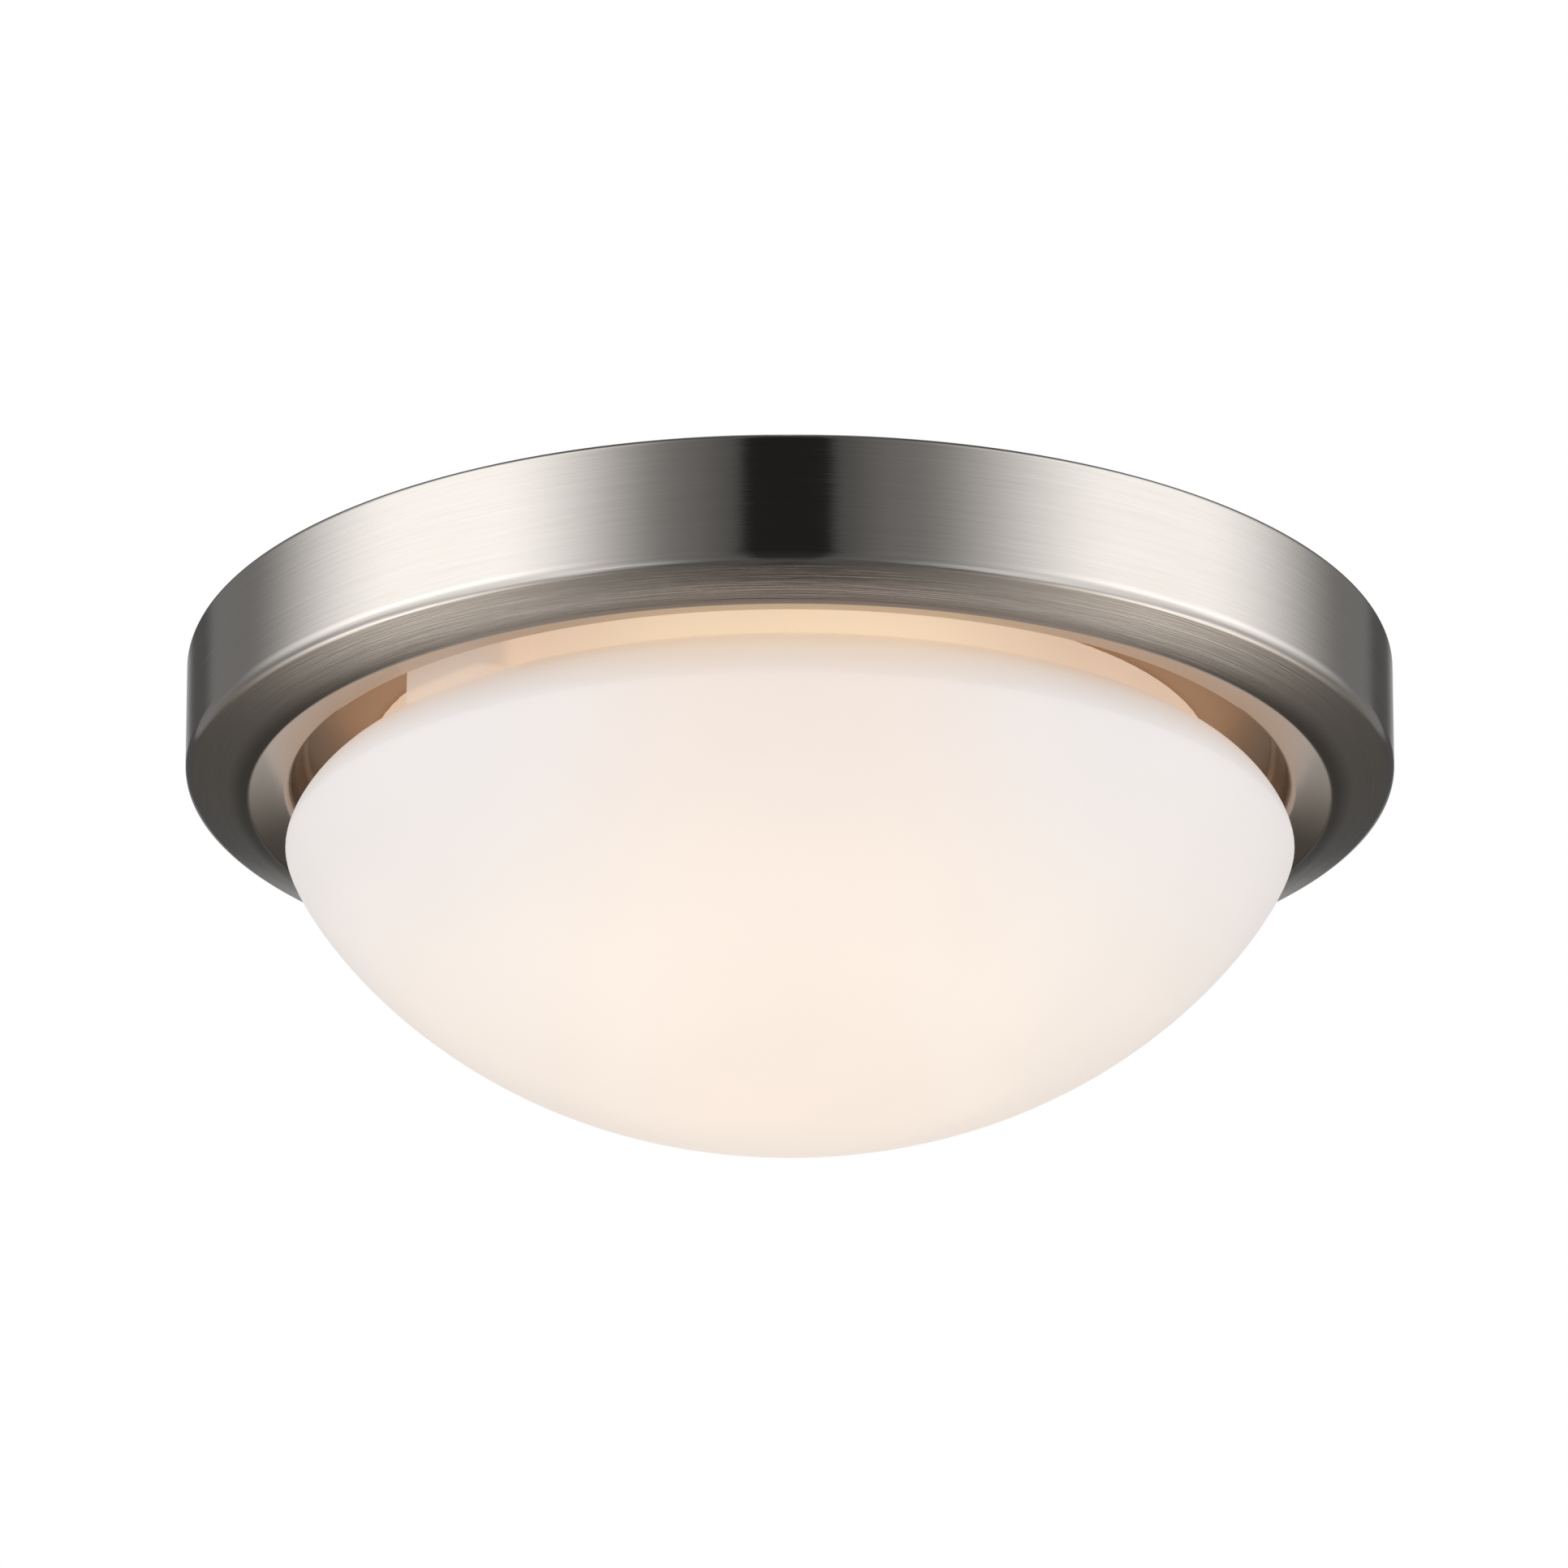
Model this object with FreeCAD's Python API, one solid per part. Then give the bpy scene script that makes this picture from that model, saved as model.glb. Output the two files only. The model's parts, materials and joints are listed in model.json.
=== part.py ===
import FreeCAD, Part
import math
import os

# Flush mount ceiling light: a spun metal pan with a recessed lamp plate and a
# mushroom-shaped opal glass shade that twists on to two hidden holders.
# Millimetres, +Z up.  The origin is the centre of the ceiling plane, z = 0, and
# the light hangs below it.  Azimuths are measured from -Y, the side nearest to
# the viewer, and are positive towards +X.

V = FreeCAD.Vector
UP = V(0, 0, 1)

# ---------------------------------------------------------------- dimensions
# Clearances
seat_gap = 0.3              # between a moving piece and the seat that it rests on
screw_clearance = 0.3       # radial, round a screw or rivet that passes through
thread_clearance = 0.05     # radial, where a screw is threaded into a plain bore
cut_over = 1.0              # how far a cutter runs past the faces that it cuts
tolerance = 1e-6            # for picking edges by their place

# Ceiling pan, spun from one sheet; radii and depths of its visible face
pan_radius = 165.0
wall_draft = 1.0            # how much wider the wall is at the ceiling
pan_sheet = 0.9
rim_flange = 4.0            # width of the turned-in rim on the ceiling
rim_bend = 1.8
wall_height = 33.0          # ceiling to the corner of wall and bevel
wall_bend = 3.2
bevel_width = 17.0          # horizontal width of the bevel below the wall
bevel_drop = 5.0
bevel_bulge = 0.6           # how far its middle stands out of a straight cone, before rounding
bevel_round = 80.0
bevel_bend = 1.6
lip_width = 11.6            # from the lowest edge in to the mouth of the recess
lip_rise = 3.2
lip_bend = 3.5
recess_draft = 2.7          # how much narrower the recess is at its plate
recess_bend = 2.2
plate_depth = 22.4          # ceiling to the underside of the recessed plate

# Wire hole and its bushing
bushing_bore_radius = 8.0
bushing_wall = 1.8
bushing_flange = 2.6
bushing_flange_thickness = 1.5
bushing_barb = 1.6          # how far its snap ring grips beyond the hole

# Mounting strap, screws and keyholes
strap_length = 132.0
strap_width = 22.0
strap_thickness = 2.0
strap_flat = 100.0          # length of the middle that lies on the outlet box
strap_step = 3.0            # how far its ends stand off the ceiling
strap_ramp = 5.0
strap_bend = 2.6
box_slot_spacing = 79.5     # spans outlet box screws 69.9 and 88.9 apart
box_slot_length = 15.6
box_slot_width = 4.8
strap_centre_hole_radius = 5.1
mounting_screw_spacing = 114.3
mounting_screw_radius = 2.05
mounting_screw_length = 22.2
screw_head_radius = 4.1
screw_head_height = 2.6
screw_slot_width = 1.1
screw_slot_depth = 1.3
screw_head_edge = 0.9       # upright edge below the head's dome
keyhole_entry_radius = 5.4
keyhole_travel = 12.0
ground_screw_radius = 2.4
ground_screw_length = 5.0
ground_head_across_flats = 8.0
ground_head_height = 3.0
ground_head_chamfer = 30.0  # degrees, on the corners of its hexagon
ground_screw_offset = 17.0

# Insulation pad in the back of the pan
pad_inner_radius = 68.0
pad_thickness = 11.0
pad_wall_gap = 1.5
pad_rivet_pocket_radius = 4.5
pad_rivet_gap = 1.0         # above the rivets' tails

# Opal glass shade
glass_wall = 3.5
recess_gap = 18.2           # recess wall, at the plate, to the outside of the neck
neck_height = 11.5          # rim to the start of the shoulder
neck_fillet = 2.4
belly_overhang = 21.8       # widest circle beyond the neck
belly_depth = 17.4          # shoulder to the widest circle
shoulder_reach = 15.1       # handle of the shoulder curve, outwards
belly_upper_handle = 4.0    # handles of the two curves at the widest circle
belly_lower_handle = 7.6
bowl_depth = 75.6           # widest circle to the lowest point
crown_reach = 95.0          # handle of the bowl curve at the lowest point
rim_round = 0.7

# Two pockets moulded in the neck let the holders pass when the glass is turned
pocket_depth = 11.5         # how far it stands out of the neck
pocket_azimuth = -43.0      # middle of the pocket that the viewer sees
pocket_angle = 18.5
pocket_ramp_angle = 6.0     # the smooth end of the pocket
pocket_corner = 2.2         # rounding of its square end, outside and inside
pocket_inner_corner = 0.8
pocket_root = 1.0           # depth of the pocket's block inside the neck
pocket_count = 2
release_angle = 30.0        # twist that brings the pockets over the holders

# Glass holders: bent strips with a soft sleeve on the nose
holder_strip = 1.2
holder_width = 14.0
holder_bend = 1.6
holder_foot = 20.0
holder_rivet_setback = 7.6  # first rivet, from the outside of the leg
holder_rivet_spacing = 6.8
holder_neck_gap = 2.6       # leg to the inside of the glass neck
nose_reach = 11.6           # nose beyond the outside of the leg
sleeve_wall = 0.8
sleeve_length = 8.0
sleeve_round = 0.5

# Rivets
rivet_radius = 1.6
rivet_head_radius = 3.2
rivet_head_height = 1.1
head_crown = 0.8            # handle of a domed head's curve over its radius
rivet_tail_radius = 2.6
rivet_tail_height = 1.0

# Lamps, medium screw base; distances run from the lamp's end contact
lamp_length = 109.0
lamp_bulb_radius = 30.0
lamp_cap_radius = 13.0
lamp_cap_wall = 0.4
lamp_cap_start = 6.6
lamp_cap_end = 27.0
lamp_cap_shoulder = 2.4     # bevel at the foot of the cap
lamp_cap_bend = 1.5
lamp_glass_wall = 1.0
lamp_glass_gap = 0.2        # neck of the bulb in the cap
lamp_neck_insert = 5.0
lamp_flank_angle = 28.0     # where the ball of the bulb turns into its flank
lamp_flank_handle = 20.0
lamp_neck_handle = 14.0
lamp_insulator_rim = 0.6
lamp_insulator_grip = 1.2   # reach inside the cap
lamp_contact_radius = 4.6
lamp_contact_height = 2.0
lamp_offset = 36.0          # lamp axis from the middle of the light
lamp_drop = 39.6            # lamp axis below the plate
lamp_back_gap = 31.4        # end contact to the outside of a holder's leg

# Lampholders and their brackets
shell_wall = 0.5
shell_lamp_gap = 0.3
shell_length = 21.0
shell_foot = 2.5            # width of the shell's turned-in foot
shell_fit = 0.05            # shell in the bore of the body
shell_bend = 0.8
body_wall = 4.6
body_front = 25.0           # skirt edge, from the lamp's end contact
body_floor = 6.0
body_taper = 2.0
body_taper_height = 6.0
body_edge = 1.0             # chamfer of the skirt's edge
body_pad_height = 30.0
body_pad_width = 26.0
body_pad_depth = 4.0
body_pad_corner = 3.0
body_screw_spacing = 20.0
body_screw_radius = 1.5
body_screw_depth = 4.5
body_screw_head_radius = 2.8
body_screw_head_height = 1.8
body_screw_slot_depth = 0.9
body_screw_head_edge = 0.6
contact_strip = 0.5
contact_width = 6.0
contact_rise = 2.2          # end contact height above the lampholder floor
contact_bend = 1.0
contact_rivet_radius = 1.0
contact_rivet_head_radius = 1.7
contact_rivet_head_height = 0.6
contact_rivet_offset = 6.6  # from the lamp axis
contact_foot = 9.6          # far end of its foot
contact_tongue = 3.5        # far end of its tongue
contact_ramp_start = 1.4
contact_ramp_end = 2.4      # from the rivet
bracket_sheet = 1.2
bracket_width = 26.0
bracket_bend = 2.0
bracket_foot = 32.0
bracket_below_axis = 16.0
bracket_corner = 5.0
bracket_rivet_spacing = 13.0

# -------------------------------------------------------- sizes that follow
rim_z = -plate_depth - seat_gap             # top of the glass neck
shoulder_z = rim_z - neck_height
belly_z = shoulder_z - belly_depth
bowl_z = belly_z - bowl_depth
plate_top = -plate_depth + pan_sheet
ceiling_radius = pan_radius + wall_draft
bevel_radius = pan_radius - bevel_width
lip_radius = bevel_radius - lip_width
recess_radius = lip_radius - recess_draft
neck_radius = recess_radius - recess_gap
belly_radius = neck_radius + belly_overhang
pocket_radius = neck_radius + pocket_depth
wire_hole_radius = bushing_bore_radius + bushing_wall
screw_hole_radius = mounting_screw_radius + screw_clearance
rivet_hole_radius = rivet_radius + screw_clearance
holder_radius = neck_radius - glass_wall - holder_neck_gap   # outside of the leg
holder_azimuth = pocket_azimuth - release_angle
holder_rivet_radii = [holder_radius - holder_rivet_setback - i * holder_rivet_spacing
                      for i in range(2)]
body_bore_radius = lamp_cap_radius + shell_lamp_gap + shell_wall + shell_fit
body_radius = body_bore_radius + body_wall
floor_front = -contact_rise - contact_strip - seat_gap
body_back = floor_front - body_floor
lamp_axis_z = -plate_depth - lamp_drop
lamp_seat = holder_radius - lamp_back_gap              # end contact from the middle
bracket_rivet_xs = [body_back + bracket_foot / 2 + side * bracket_rivet_spacing / 2
                    for side in (-1, 1)]


# ------------------------------------------------------------------- helpers
def at(r, z):
    """A point of a profile in the XZ plane."""
    return V(r, 0, z)


def loop(edges):
    return Part.Face(Part.Wire(edges))


def lines(*points):
    """Straight edges through the points."""
    return [Part.LineSegment(a, b).toShape() for a, b in zip(points, points[1:])]


def curve(*poles):
    """A Bezier edge; its first and last handles set the end tangents."""
    bezier = Part.BezierCurve()
    bezier.setPoles(list(poles))
    return bezier.toShape()


def revolved(face, angle=360):
    return face.revolve(V(0, 0, 0), UP, angle)


def tube(outer, inner, low, high):
    """A cylinder round Z from low to high, hollow if inner is more than 0."""
    body = Part.makeCylinder(outer, high - low, V(0, 0, low))
    if inner > 0:
        body = body.cut(Part.makeCylinder(inner, high - low, V(0, 0, low)))
    return body


def block(x0, x1, y0, y1, z0, z1):
    return Part.makeBox(x1 - x0, y1 - y0, z1 - z0, V(x0, y0, z0))


def turned(shape, azimuth):
    """Turns a shape that was drawn along +X to an azimuth."""
    copy = shape.copy()
    copy.rotate(V(0, 0, 0), UP, azimuth - 90)
    return copy


def moved(shape, *offset):
    copy = shape.copy()
    copy.translate(V(*offset))
    return copy


def bent_sheet(path, bends, thickness):
    """Face of a bent sheet in the XZ plane.

    path holds the corners of the visible face and bends their radii on that
    face; the sheet lies on the right-hand side of the path.
    """
    points = [V(r, 0, z) for r, z in path]
    ways = [(b - a).normalize() for a, b in zip(points, points[1:])]
    rights = [V(way.z, 0, -way.x) for way in ways]
    sides = []
    for offset in (0.0, thickness):
        edges = []
        start = points[0] + rights[0] * offset
        for i, radius in enumerate(bends):
            before, after = ways[i], ways[i + 1]
            corner = points[i + 1]
            turn = math.acos(max(-1.0, min(1.0, before.dot(after))))
            reach = radius * math.tan(turn / 2)
            right_turn = rights[i].dot(after) > 0
            inward = rights[i] * (1 if right_turn else -1)
            centre = corner - before * reach + inward * radius
            bend_radius = radius - offset if right_turn else radius + offset
            first = corner - before * reach + rights[i] * offset
            last = corner + after * reach + rights[i + 1] * offset
            middle = centre + (corner - centre).normalize() * bend_radius
            edges += lines(start, first)
            edges.append(Part.Arc(first, middle, last).toShape())
            start = last
        edges += lines(start, points[-1] + rights[-1] * offset)
        sides.append(edges)
    near, far = sides
    far = far[::-1]
    caps = lines(points[-1], points[-1] + rights[-1] * thickness)
    caps += lines(points[0], points[0] + rights[0] * thickness)
    return loop(Part.__sortEdges__(near + far + caps))


def bent_strip(path, bends, thickness, width):
    """A bent strip, drawn in the XZ plane and centred on it."""
    face = bent_sheet(path, bends, thickness)
    face.translate(V(0, -width / 2, 0))
    return face.extrude(V(0, width, 0))


def slot_solid(length, width, low, high):
    """A slot along X with round ends, centred on the Z axis."""
    half = length / 2 - width / 2
    cutter = block(-half, half, -width / 2, width / 2, low, high)
    for x in (-half, half):
        cutter = cutter.fuse(moved(tube(width / 2, 0, low, high), x, 0, 0))
    return cutter.removeSplitter()


def rivet(grip_low, grip_high):
    """A set rivet along Z: its dome below the grip, its tail above."""
    dome = [at(0, grip_low - rivet_head_height), at(rivet_head_radius, grip_low)]
    face = loop([
        curve(dome[0], at(rivet_head_radius * head_crown, grip_low - rivet_head_height), dome[1]),
        *lines(
            dome[1],
            at(rivet_radius, grip_low),
            at(rivet_radius, grip_high),
            at(rivet_tail_radius, grip_high),
            at(rivet_tail_radius, grip_high + rivet_tail_height),
            at(0, grip_high + rivet_tail_height),
            dome[0],
        ),
    ])
    return revolved(face)


def pan_head_screw(head_radius, head_height, head_edge, slot_depth, shank_radius, length):
    """A slotted pan head screw: head below z = 0 and shank up to length."""
    face = loop([
        curve(
            at(0, -head_height),
            at(head_radius * head_crown, -head_height),
            at(head_radius, -head_edge),
        ),
        *lines(
            at(head_radius, -head_edge),
            at(head_radius, 0),
            at(shank_radius, 0),
            at(shank_radius, length),
            at(0, length),
            at(0, -head_height),
        ),
    ])
    slot = block(
        -head_radius, head_radius,
        -screw_slot_width / 2, screw_slot_width / 2,
        -head_height, slot_depth - head_height,
    )
    return revolved(face).cut(slot)


# ---------------------------------------------------------------- ceiling pan
def ceiling_pan():
    path = [
        (ceiling_radius - rim_flange, 0),
        (ceiling_radius, 0),
        (pan_radius, -wall_height),
        (pan_radius - bevel_width / 2, -wall_height - bevel_drop / 2 - bevel_bulge),
        (bevel_radius, -wall_height - bevel_drop),
        (lip_radius, -wall_height - bevel_drop + lip_rise),
        (recess_radius, -plate_depth),
        (wire_hole_radius, -plate_depth),
    ]
    bends = [rim_bend, wall_bend, bevel_round, bevel_bend, lip_bend, recess_bend]
    pan = revolved(bent_sheet(path, bends, pan_sheet))
    low = -plate_depth - cut_over
    high = plate_top + cut_over
    cutters = []
    for side in (-1, 1):
        x = side * mounting_screw_spacing / 2
        shank = tube(screw_hole_radius, 0, low, high)
        entry = tube(keyhole_entry_radius, 0, low, high)
        throat = block(-screw_hole_radius, screw_hole_radius, 0, keyhole_travel, low, high)
        keyhole = shank.fuse([throat, moved(entry, 0, keyhole_travel, 0)])
        keyhole.rotate(V(0, 0, 0), UP, 90 + 90 * side)
        cutters.append(moved(keyhole, x, 0, 0))
    for x, y in rivet_points():
        cutters.append(moved(tube(rivet_hole_radius, 0, low, high), x, y, 0))
    return pan.cut(cutters)


def holder_rivet_points():
    points = []
    for i in range(pocket_count):
        angle = math.radians(holder_azimuth - 90 + i * 360 / pocket_count)
        points += [(r * math.cos(angle), r * math.sin(angle)) for r in holder_rivet_radii]
    return points


def bracket_rivet_points():
    points = []
    for side in (-1, 1):
        points += [(side * (lamp_seat - x), -side * lamp_offset) for x in bracket_rivet_xs]
    return points


def rivet_points():
    return holder_rivet_points() + bracket_rivet_points()


def wire_bushing():
    """Snap bushing that lines the wire hole in the plate."""
    outer = wire_hole_radius + bushing_flange
    face = loop(lines(
        at(bushing_bore_radius, -plate_depth - bushing_flange_thickness),
        at(outer, -plate_depth - bushing_flange_thickness),
        at(outer, -plate_depth),
        at(wire_hole_radius, -plate_depth),
        at(wire_hole_radius, plate_top),
        at(wire_hole_radius + bushing_barb, plate_top),
        at(wire_hole_radius, plate_top + bushing_flange_thickness),
        at(bushing_bore_radius, plate_top + bushing_flange_thickness),
        at(bushing_bore_radius, -plate_depth - bushing_flange_thickness),
    ))
    return revolved(face)


def insulation_pad():
    """Glass-fibre ring in the back of the pan, relieved over the rivets."""
    outer = recess_radius - pad_wall_gap
    pad = tube(outer, pad_inner_radius, plate_top, plate_top + pad_thickness)
    top = plate_top + rivet_tail_height + pad_rivet_gap
    relief = tube(pad_rivet_pocket_radius, 0, plate_top, top)
    return pad.cut([moved(relief, x, y, 0) for x, y in rivet_points()])


# ----------------------------------------------------------- ceiling mounting
def mounting_strap():
    """Strap for the outlet box; its stepped ends are tapped for the pan's screws."""
    half = strap_length / 2
    flat = strap_flat / 2
    path = [
        (-half, -strap_step),
        (-flat - strap_ramp, -strap_step),
        (-flat, 0),
        (flat, 0),
        (flat + strap_ramp, -strap_step),
        (half, -strap_step),
    ]
    bends = [strap_bend, strap_bend + strap_thickness, strap_bend + strap_thickness, strap_bend]
    strap = bent_strip(path, bends, strap_thickness, strap_width)
    low = -strap_step - strap_thickness - cut_over
    high = cut_over
    strap = strap.common(slot_solid(strap_length, strap_width, low, high))
    slot = slot_solid(box_slot_length, box_slot_width, low, high)
    tapped = tube(mounting_screw_radius + thread_clearance, 0, low, high)
    cutters = [tube(strap_centre_hole_radius, 0, low, high)]
    for side in (-1, 1):
        cutters.append(moved(slot, side * box_slot_spacing / 2, 0, 0))
        cutters.append(moved(tapped, side * mounting_screw_spacing / 2, 0, 0))
    ground = tube(ground_screw_radius + thread_clearance, 0, low, high)
    cutters.append(moved(ground, ground_screw_offset, 0, 0))
    return strap.cut(cutters)


def mounting_screws():
    """Two screws that hold the pan up against the ceiling."""
    screw = pan_head_screw(
        screw_head_radius, screw_head_height, screw_head_edge, screw_slot_depth,
        mounting_screw_radius, mounting_screw_length,
    )
    return Part.makeCompound([
        moved(screw, side * mounting_screw_spacing / 2, 0, -plate_depth) for side in (-1, 1)
    ])


def ground_screw():
    """Hexagon washer head screw, driven up into the strap."""
    flat = ground_head_across_flats / 2
    corner = flat / math.cos(math.pi / 6)
    ring = [V(corner * math.cos(i * math.pi / 3), corner * math.sin(i * math.pi / 3), 0)
            for i in range(7)]
    head = loop(lines(*ring)).extrude(V(0, 0, -ground_head_height))
    spread = ground_head_height / math.tan(math.radians(ground_head_chamfer))
    chamfer = Part.makeCone(flat, flat + spread, ground_head_height, V(0, 0, -ground_head_height))
    head = head.common(chamfer)
    shank = tube(ground_screw_radius, 0, 0, ground_screw_length)
    return moved(head.fuse(shank), ground_screw_offset, 0, -strap_thickness)


# ---------------------------------------------------------------- glass shade
def shade_outline(inset):
    """Closed profile of the shade, all faces moved inwards by inset."""
    neck = neck_radius - inset
    top = rim_z + inset
    shoulder = shoulder_z - inset
    belly = belly_radius - inset
    bottom = bowl_z + inset
    fillet = neck_fillet + inset
    corner = at(neck + fillet, shoulder + fillet)
    arc_middle = corner + V(-1, 0, -1).normalize() * fillet
    turn_in = at(neck, shoulder + fillet)
    turn_out = at(neck + fillet, shoulder)
    widest = at(belly, belly_z)
    lowest = at(0, bottom)
    rim_inner = at(neck - rim_round, top)
    rim_outer = at(neck, top - rim_round)
    rim_middle = at(neck - rim_round, top - rim_round) + V(1, 0, 1).normalize() * rim_round
    return loop(
        lines(lowest, at(0, top), rim_inner)
        + [Part.Arc(rim_inner, rim_middle, rim_outer).toShape()]
        + lines(rim_outer, turn_in)
        + [
            Part.Arc(turn_in, arc_middle, turn_out).toShape(),
            curve(turn_out, at(neck_radius + shoulder_reach, shoulder),
                  at(belly, belly_z + belly_upper_handle), widest),
            curve(widest, at(belly, belly_z - belly_lower_handle),
                  at(crown_reach - inset, bottom), lowest),
        ]
    )


def pocket_prism(inset, corner_radius, low):
    """One neck pocket, drawn round +X: square at one end, a ramp at the other."""
    outer = pocket_radius - inset
    root = neck_radius - inset - pocket_root
    slope = math.atan2(pocket_radius - neck_radius, pocket_radius * math.radians(pocket_ramp_angle))
    ramp_shift = inset / outer * math.tan(slope / 2)
    square = math.radians(-pocket_angle / 2) + inset / outer
    crest = math.radians(pocket_angle / 2 - pocket_ramp_angle) - ramp_shift
    foot = math.radians(pocket_angle / 2) - ramp_shift

    def polar(radius, angle):
        return V(radius * math.cos(angle), radius * math.sin(angle), low)

    def across(radius, angle, length):
        return V(-math.sin(angle), math.cos(angle), 0) * length + polar(radius, angle)

    handle = (foot - crest) * outer / 2
    middle = (square + crest) / 2
    edges = [
        Part.LineSegment(polar(root, square), polar(outer, square)).toShape(),
        Part.Arc(polar(outer, square), polar(outer, middle), polar(outer, crest)).toShape(),
        curve(polar(outer, crest), across(outer, crest, handle),
              across(root, foot, -handle), polar(root, foot)),
        Part.Arc(polar(root, foot), polar(root, (square + foot) / 2), polar(root, square)).toShape(),
    ]
    prism = loop(edges).extrude(V(0, 0, rim_z + inset - low))
    corner = polar(outer, square)
    upright = [edge for edge in prism.Edges
               if all(math.hypot(v.X - corner.x, v.Y - corner.y) < tolerance for v in edge.Vertexes)]
    prism = prism.makeFillet(corner_radius, upright)
    top = rim_z + inset
    rim = [edge for edge in prism.Edges
           if abs(edge.BoundBox.ZMin - top) < tolerance and edge.BoundBox.ZLength < tolerance
           and math.hypot(edge.CenterOfMass.x, edge.CenterOfMass.y) > neck_radius - inset]
    return prism.makeFillet(rim_round, rim)


def glass_shade():
    outside = revolved(shade_outline(0))
    inside = revolved(shade_outline(glass_wall))
    for i in range(pocket_count):
        azimuth = pocket_azimuth + i * 360 / pocket_count
        pocket = pocket_prism(0, pocket_corner, belly_z)
        hollow = pocket_prism(glass_wall, pocket_inner_corner, belly_z)
        outside = outside.fuse(turned(pocket, azimuth))
        inside = inside.fuse(turned(hollow, azimuth))
    return outside.cut(inside)


# --------------------------------------------------------------- glass holders
def nose_top():
    """Height of the sleeve's top: just under the inside of the shoulder."""
    return shoulder_z - glass_wall - shoulder_sag() - seat_gap


def shoulder_sag():
    """How far the inside of the shoulder has fallen at the end of the sleeve."""
    inset = glass_wall
    start = neck_radius - inset + neck_fillet + inset
    poles = [
        (start, 0.0),
        (neck_radius + shoulder_reach, 0.0),
        (belly_radius - inset, shoulder_z - inset - belly_z - belly_upper_handle),
        (belly_radius - inset, shoulder_z - inset - belly_z),
    ]
    bezier = Part.BezierCurve()
    bezier.setPoles([V(r, 0, -drop) for r, drop in poles])
    reach = holder_radius + nose_reach + sleeve_wall
    if reach <= start:
        return 0.0
    upright = Part.LineSegment(at(reach, cut_over), at(reach, -belly_depth))
    return -bezier.intersect(upright)[0].Z


def glass_holder():
    """Bent strip: foot under the plate, leg down the neck, nose outwards."""
    nose_z = nose_top() - sleeve_wall
    path = [
        (holder_radius - holder_foot, -plate_depth),
        (holder_radius, -plate_depth),
        (holder_radius, nose_z),
        (holder_radius + nose_reach, nose_z),
    ]
    bends = [holder_bend + holder_strip, holder_bend]
    strip = bent_strip(path, bends, holder_strip, holder_width)
    hole = tube(
        rivet_radius + thread_clearance, 0,
        -plate_depth - holder_strip - cut_over, -plate_depth + cut_over,
    )
    cutters = [moved(hole, r, 0, 0) for r in holder_rivet_radii]
    return strip.cut(cutters)


def holder_sleeve():
    """Soft sleeve over the nose, closed at its end."""
    end = holder_radius + nose_reach + sleeve_wall
    start = end - sleeve_length
    half = holder_width / 2 + sleeve_wall
    top = nose_top()
    bottom = top - holder_strip - 2 * sleeve_wall
    sleeve = block(start, end, -half, half, bottom, top)
    edges = [edge for edge in sleeve.Edges if abs(edge.BoundBox.XMin - end) < tolerance]
    sleeve = sleeve.makeFillet(min(sleeve_round, sleeve_wall), edges)
    nose = block(
        start - cut_over, end - sleeve_wall,
        -holder_width / 2, holder_width / 2,
        bottom + sleeve_wall, top - sleeve_wall,
    )
    return sleeve.cut(nose)


# -------------------------------------------------------------------- lamps
# Each piece is drawn round Z with the lamp's end contact at the origin and the
# bulb upwards, then laid along X.
def lamp_glass():
    """Pear-shaped bulb of constant wall, open at its neck inside the cap."""
    def half_profile(inset):
        radius = lamp_bulb_radius - inset
        centre = lamp_length - lamp_bulb_radius
        neck = lamp_cap_radius - lamp_cap_wall - lamp_glass_gap - inset
        mouth = lamp_cap_end - lamp_neck_insert - inset
        angle = math.radians(-lamp_flank_angle)
        half_way = (math.pi / 2 + angle) / 2
        crown = at(0, centre + radius)
        tangent = at(radius * math.cos(angle), centre + radius * math.sin(angle))
        flank = V(math.sin(angle), 0, -math.cos(angle)) * lamp_flank_handle
        middle = at(radius * math.cos(half_way), centre + radius * math.sin(half_way))
        neck_end = at(neck, lamp_cap_end)
        return [
            Part.Arc(crown, middle, tangent).toShape(),
            curve(tangent, tangent + flank, at(neck, lamp_cap_end + lamp_neck_handle), neck_end),
            *lines(neck_end, at(neck, mouth), at(0, mouth), crown),
        ]
    return revolved(loop(half_profile(0))).cut(revolved(loop(half_profile(lamp_glass_wall))))


def lamp_cap():
    """Screw cap shell, drawn plain."""
    path = [
        (lamp_cap_radius, lamp_cap_end),
        (lamp_cap_radius, lamp_cap_start + lamp_cap_shoulder),
        (lamp_cap_radius - lamp_cap_shoulder, lamp_cap_start),
    ]
    return revolved(bent_sheet(path, [lamp_cap_bend], lamp_cap_wall))


def lamp_insulator():
    """Moulded cone between the cap's foot and the end contact."""
    outer = lamp_cap_radius - lamp_cap_shoulder - lamp_cap_wall
    face = loop(lines(
        at(0, lamp_contact_height),
        at(lamp_contact_radius + lamp_insulator_rim, lamp_contact_height),
        at(outer, lamp_cap_start - lamp_insulator_rim),
        at(outer, lamp_cap_start + lamp_insulator_grip),
        at(0, lamp_cap_start + lamp_insulator_grip),
        at(0, lamp_contact_height),
    ))
    return revolved(face)


def lamp_contact():
    """Domed end contact of soldered metal."""
    tip = at(0, 0)
    edge = at(lamp_contact_radius, lamp_contact_height)
    face = loop([
        curve(tip, at(lamp_contact_radius * head_crown, 0), edge),
        *lines(edge, at(0, lamp_contact_height), tip),
    ])
    return revolved(face)


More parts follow.
